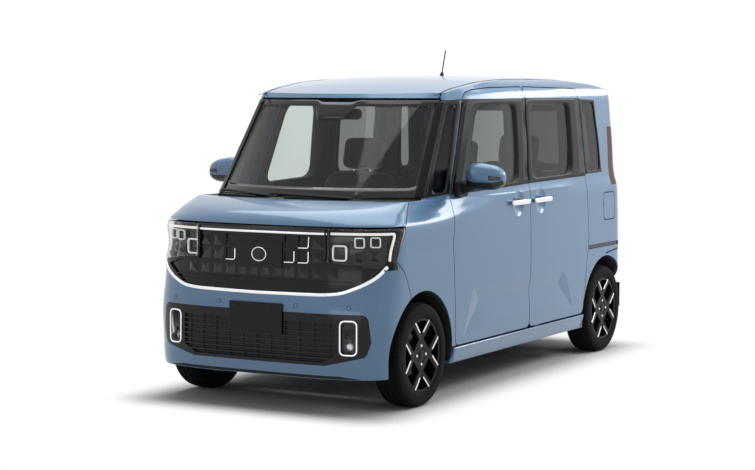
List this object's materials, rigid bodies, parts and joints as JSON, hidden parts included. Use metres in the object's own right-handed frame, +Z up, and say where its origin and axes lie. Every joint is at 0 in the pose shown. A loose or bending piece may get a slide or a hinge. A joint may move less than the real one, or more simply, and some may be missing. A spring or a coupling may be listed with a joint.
{
  "type": "kei wagon car",
  "caption": "Tall boxy light-blue kei wagon with hinged front doors, bonnet and tailgate, steered front wheels and freely turning wheels.",
  "frame": {"origin": "on the ground under the middle of the car's length and width", "axes": "+X to the car's left, the nose faces -Y, +Z up"},
  "size_m": [1.913, 3.3946, 1.9421],
  "materials": {
    "paint": "gloss",
    "glass": "clear",
    "privacy_glass": "dark",
    "black_gloss": "gloss",
    "black_trim": "matte",
    "lamp": "clear",
    "tail_lamp": "gloss",
    "tyre": "matte",
    "alloy": "gloss black with bright edges",
    "steel": "raw",
    "underseal": "matte",
    "fabric": "woven",
    "plate": "matte"
  },
  "bodies": {
    "car_body": {"antenna": "black_trim", "body_sides": "paint", "cowl": "black_trim", "dashboard": "black_trim", "engine": "steel", "exhaust": "steel", "front_bumper": "paint", "front_lamps": "lamp", "front_seats": "fabric", "front_suspension": "steel", "fuel_tank": "black_trim", "grilles": "black_gloss", "front_plate": "plate", "rear_axle": "steel", "rear_bumper": "paint", "rear_seat": "fabric", "roof_panel": "paint", "side_glass": "privacy_glass", "sliding_doors": "paint", "tail_lamps": "tail_lamp", "underbody": "underseal", "windscreen": "glass", "wings": "paint"},
    "door_left": {"front_door_left": "paint", "front_door_glass_left": "glass", "mirror_left": "paint"},
    "door_right": {"front_door_right": "paint", "front_door_glass_right": "glass", "mirror_right": "paint"},
    "bonnet": {"bonnet": "paint"},
    "tailgate": {"tailgate": "paint", "tailgate_glass": "privacy_glass", "rear_plate": "plate"},
    "fuel_lid": {"fuel_lid": "paint"},
    "knuckle_left": {"knuckle_left": "steel"},
    "knuckle_right": {"knuckle_right": "steel"},
    "steering_wheel": {"steering_wheel": "black_trim"},
    "wheel_front_left": {"wheel_front_left": "alloy", "tyre_front_left": "tyre"},
    "wheel_front_right": {"wheel_front_right": "alloy", "tyre_front_right": "tyre"},
    "wheel_rear_left": {"wheel_rear_left": "alloy", "tyre_rear_left": "tyre"},
    "wheel_rear_right": {"wheel_rear_right": "alloy", "tyre_rear_right": "tyre"}
  },
  "joints": [
    {"name": "steer_left", "type": "hinge", "parent": "car_body", "child": "knuckle_left", "pos_m": [0.59, -1.1785, 0.19], "axis": [-0.1849, 0, 0.9828], "range_deg": [-32, 32]},
    {"name": "steer_right", "type": "hinge", "parent": "car_body", "child": "knuckle_right", "pos_m": [-0.59, -1.1785, 0.19], "axis": [0.1849, 0, 0.9828], "range_deg": [-32, 32]},
    {"name": "steering_wheel_turn", "type": "hinge", "parent": "car_body", "child": "steering_wheel", "pos_m": [-0.33, -0.56, 0.94], "axis": [0, 0.8988, 0.4384], "range_deg": [-480, 480]},
    {"name": "spin_front_left", "type": "hinge", "parent": "knuckle_left", "child": "wheel_front_left", "pos_m": [0.65, -1.1785, 0.281], "axis": [1, 0, 0], "continuous": true},
    {"name": "spin_front_right", "type": "hinge", "parent": "knuckle_right", "child": "wheel_front_right", "pos_m": [-0.65, -1.1785, 0.281], "axis": [1, 0, 0], "continuous": true},
    {"name": "spin_rear_left", "type": "hinge", "parent": "car_body", "child": "wheel_rear_left", "pos_m": [0.645, 1.3165, 0.281], "axis": [1, 0, 0], "continuous": true},
    {"name": "spin_rear_right", "type": "hinge", "parent": "car_body", "child": "wheel_rear_right", "pos_m": [-0.645, 1.3165, 0.281], "axis": [1, 0, 0], "continuous": true},
    {"name": "door_left_swing", "type": "hinge", "parent": "car_body", "child": "door_left", "pos_m": [0.7175, -0.77799, 0.722], "axis": [0, 0, -1], "range_deg": [0, 65]},
    {"name": "door_right_swing", "type": "hinge", "parent": "car_body", "child": "door_right", "pos_m": [-0.7175, -0.77799, 0.722], "axis": [0, 0, 1], "range_deg": [0, 65]},
    {"name": "bonnet_lift", "type": "hinge", "parent": "car_body", "child": "bonnet", "pos_m": [0, -1.23934, 1.1012], "axis": [-1, 0, 0], "range_deg": [0, 45]},
    {"name": "tailgate_lift", "type": "hinge", "parent": "car_body", "child": "tailgate", "pos_m": [0, 1.548, 1.7], "axis": [1, 0, 0], "range_deg": [0, 80]},
    {"name": "fuel_lid_swing", "type": "hinge", "parent": "car_body", "child": "fuel_lid", "pos_m": [0.73447, 1.2812, 0.948], "axis": [0, 0, -1], "range_deg": [0, 85]}
  ],
  "couplings": [
    {"joint": "steer_right", "follows": "steer_left", "ratio": 1},
    {"joint": "steering_wheel_turn", "follows": "steer_left", "ratio": 15}
  ]
}
